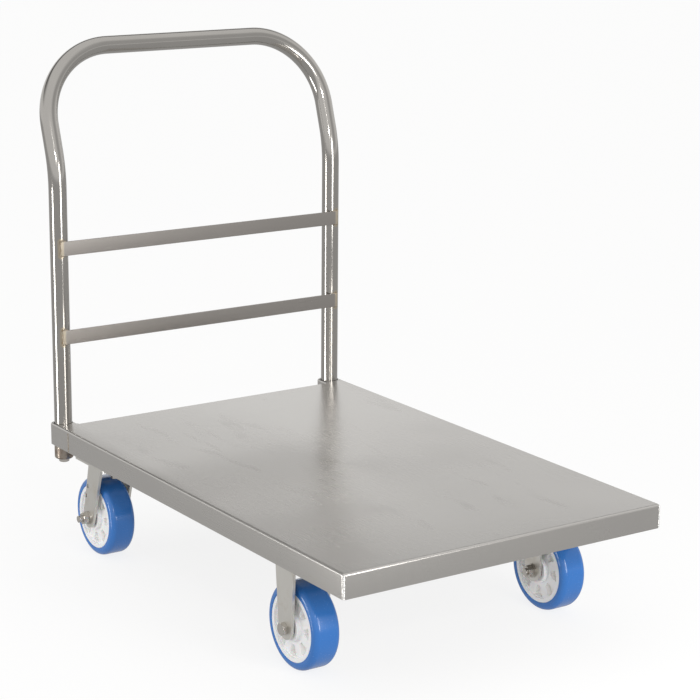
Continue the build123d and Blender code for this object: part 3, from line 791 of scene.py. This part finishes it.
# %% [markdown]
# Two kinds of weld show on the deck. Its front corners are ground flush and polished, so they read
# as one bright upright line. Each handle socket meets the skirt in a seam that was left as laid.

# %% Deck corners and socket seams
CORNER_INSET = 2.3 * MM
SEAM_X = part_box("handle_socket_left")[1].x
skirt_low = deck_low.z + 1 * MM
for side_name, side in SIDES.items():
    x = deck_high.x - CORNER_INSET
    y = side * (deck_high.y - CORNER_INSET)
    lay_weld(f"corner_weld_{side_name}", [(x, y, skirt_low), (x, y, deck_high.z - 4 * MM)],
             "truck", "brushed_sheet", ground_weld, Pitch=0.7 * MM, Width=2.1 * MM, Height=2.1 * MM)
    y = side * (deck_high.y - 0.5 * MM)
    lay_weld(f"seam_weld_{side_name}", [(SEAM_X, y, skirt_low), (SEAM_X, y, deck_high.z - 5 * MM)],
             "truck", "brushed_sheet", Width=1.3 * MM, Height=1.0 * MM, Seed=11)
print("seam at x", round(SEAM_X, 4))

# %% [markdown]
# Underneath, a ring joins each spud to its socket, short fillets hold the rigid forks to their
# plates, and the cross channels are stitched to the deck.

# %% Welds underneath
FORK_WELD_HALF = 22 * MM
STITCH_HALF = 15 * MM
STITCH_PLACES = (-0.16, 0.0, 0.16)
def ring_points(centre, radius, count=48):
    """Points round an upright axis, the first repeated at the end."""
    turns = [math.tau * i / count for i in range(count + 1)]
    return [(centre.x + radius * math.cos(a), centre.y + radius * math.sin(a), centre.z) for a in turns]


for side_name in SIDES:
    spud_low, spud_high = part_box(f"socket_spud_{side_name}")
    ring_centre = middle(f"socket_spud_{side_name}")
    ring_centre.z = deck_low.z
    lay_weld(f"spud_weld_{side_name}", ring_points(ring_centre, (spud_high.x - spud_low.x) / 2),
             "truck", "tinted_steel", Width=1.5 * MM, Height=1.3 * MM, Seed=5)
    fork_low, fork_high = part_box(f"front_{side_name}_fork")
    plate_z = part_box(f"front_{side_name}_top_plate")[0].z
    centre_x = wheel_centres[f"front_{side_name}"].x
    for edge_name, y in (("a", fork_low.y), ("b", fork_high.y)):
        lay_weld(f"fork_weld_{side_name}_{edge_name}",
                 [(centre_x - FORK_WELD_HALF, y, plate_z), (centre_x + FORK_WELD_HALF, y, plate_z)],
                 "truck", "fork_steel", Width=1.8 * MM, Height=1.8 * MM, Seed=9)
for end in ("front", "rear"):
    low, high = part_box(f"{end}_cross_channel")
    for edge_name, x in (("a", low.x), ("b", high.x)):
        for number, y in enumerate(STITCH_PLACES):
            stitch = [(x, y - STITCH_HALF, high.z), (x, y + STITCH_HALF, high.z)]
            lay_weld(f"stitch_{end}_{edge_name}_{number}", stitch, "truck", "channel_steel",
                     Width=1.6 * MM, Height=1.6 * MM, Seed=number)
print("spud, fork and stitch welds laid")

# %% [markdown]
# ### Screw threads
# A thread is a ridge that climbs round a bolt. It shows on the length of each axle bolt that stands
# out beyond its nut.

# %% Thread recipe
RIDGE = 0.45 * MM
THREAD_RADIUS = 5.75 * MM


def thread_recipe():
    recipe = Recipe("thread")
    radius = recipe.number("Radius", 6 * MM)
    length = recipe.number("Length", 8 * MM)
    pitch = recipe.number("Pitch", 1.75 * MM)
    ridge = recipe.number("Ridge", RIDGE)
    centre = recipe.number("Centre", (0, 0, 0), "NodeSocketVector")
    helix = recipe.node("GeometryNodeCurveSpiral", None,
                        {"Resolution": 32, "Rotations": length / pitch, "Start Radius": radius,
                         "End Radius": radius, "Height": length})
    crest = recipe.node("GeometryNodeCurvePrimitiveCircle", None, {"Resolution": 6, "Radius": ridge})
    thread = recipe.node("GeometryNodeCurveToMesh", None,
                         {"Curve": helix, "Profile Curve": crest, "Fill Caps": True})
    thread = recipe.node("GeometryNodeTransform", None,
                         {"Geometry": thread, "Rotation": (-math.pi / 2, 0, 0), "Translation": centre})
    recipe.end(thread, bolt_finish)
    return recipe


thread = thread_recipe()
for name, centre in wheel_centres.items():
    bolt_low, bolt_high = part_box(f"{name}_axle_bolt")
    nut_low, nut_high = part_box(f"{name}_axle_nut")
    beyond_high = bolt_high.y - nut_high.y
    beyond_low = nut_low.y - bolt_low.y
    start = nut_high.y if beyond_high < beyond_low else bolt_low.y
    length = min(beyond_high, beyond_low) - 2 * RIDGE
    piece = thread.bake(f"{name}_thread", Length=length, Radius=THREAD_RADIUS,
                        Centre=(centre.x, start + RIDGE, centre.z))
    tidy_mesh(piece)
    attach(piece, nodes[f"{name}_axle_bolt"]["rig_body"])
    print(name, "thread length", round(length, 4))

# %% [markdown]
# ## Floor, light and air
# The tube's streaks are reflections of tall soft lights that reach down to the floor. Two strips
# stand either side of the camera, and a small box beside it gives the plastics their highlights.
# The floor glows a little, so that it stays pale and keeps only a soft shadow under the truck.

# %% Floor
def floor_finish():
    material = bpy.data.materials.new("pale_floor")
    material.use_nodes = True
    tree = Tree(material.node_tree)
    shader = material.node_tree.nodes["Principled BSDF"]
    shader.inputs["Roughness"].default_value = 0.9
    shader.inputs["Specular IOR Level"].default_value = 0.0
    shader.inputs["Base Color"].default_value = (0.16, 0.16, 0.16, 1)
    shader.inputs["Emission Color"].default_value = (1, 1, 1, 1)
    ray = tree.node("ShaderNodeLightPath").out("Is Camera Ray")
    tree.feed(shader.inputs["Emission Strength"], 0.40 + 0.43 * ray)
    return material


FLOOR_HALF = 60.0
floor_mesh = bpy.data.meshes.new("floor")
corners = [(-FLOOR_HALF, -FLOOR_HALF, 0), (FLOOR_HALF, -FLOOR_HALF, 0),
           (FLOOR_HALF, FLOOR_HALF, 0), (-FLOOR_HALF, FLOOR_HALF, 0)]
floor_mesh.from_pydata(corners, [], [(0, 1, 2, 3)])
floor = bpy.data.objects.new("floor", floor_mesh)
floor.data.materials.append(floor_finish())
bpy.context.scene.collection.objects.link(floor)
floor.visible_glossy = False

# %% [markdown]
# What the metal reflects is the air around it. It is bright ahead and grey below, with a dark band
# behind at the height that the folded edges look to, and a dimmer patch to the far right.

# %% World
world = bpy.data.worlds.new("studio")
world.use_nodes = True
bpy.context.scene.world = world
air = Tree(world.node_tree)
background = world.node_tree.nodes["Background"]
seen = air.node("ShaderNodeLightPath").out("Is Camera Ray")
heading = air.node("ShaderNodeTexCoord").out("Generated")
parts = air.node("ShaderNodeSeparateXYZ", None, {0: heading})
up = parts.out("Z")
below = 1 - up.rise(-0.06, 0.02)
rear = 1 - parts.out("X").rise(-0.75, 0.1)
dark_band = up.rise(0.36, 0.46) * (1 - up.rise(0.66, 0.78)) * rear
far_right = parts.out("X").rise(0.3, 0.7) * parts.out("Y").rise(0.1, 0.5) * up.rise(-0.02, 0.1)
around = 1.0 - 0.43 * below - 0.78 * dark_band - 0.38 * far_right
air.feed(background.inputs["Color"], (1.0, 0.995, 0.985, 1))
air.feed(background.inputs["Strength"], around + seen * (1.0 - around))


# %% Lights
def panel(name, azimuth, distance, height, width, tall, power, warmth=1.0):
    """Soft rectangle that faces the handle; azimuth is counted from the camera's, in degrees."""
    light = bpy.data.lights.new(name, "AREA")
    light.shape = "RECTANGLE"
    light.size = width
    light.size_y = tall
    light.energy = power
    light.color = (1.0, 0.985 * warmth, 0.96 * warmth)
    lamp = bpy.data.objects.new(name, light)
    angle = VIEW_AZIMUTH + math.radians(azimuth)
    lamp.location = (distance * math.sin(angle) - 0.2, -distance * math.cos(angle), height)
    aim = Vector((-0.2, 0, height)) - lamp.location
    lamp.rotation_euler = aim.to_track_quat("-Z", "Y").to_euler()
    lamp.visible_camera = False
    bpy.context.scene.collection.objects.link(lamp)
    return lamp


panel("left_strip", -68, 1.9, -0.05, 0.32, 0.9, 10)
panel("right_strip", 40, 2.1, 0.65, 0.40, 1.1, 13)
panel("key_box", 12, 3.4, 1.9, 0.24, 0.24, 14)
bpy.context.scene.view_settings.view_transform = "Standard"
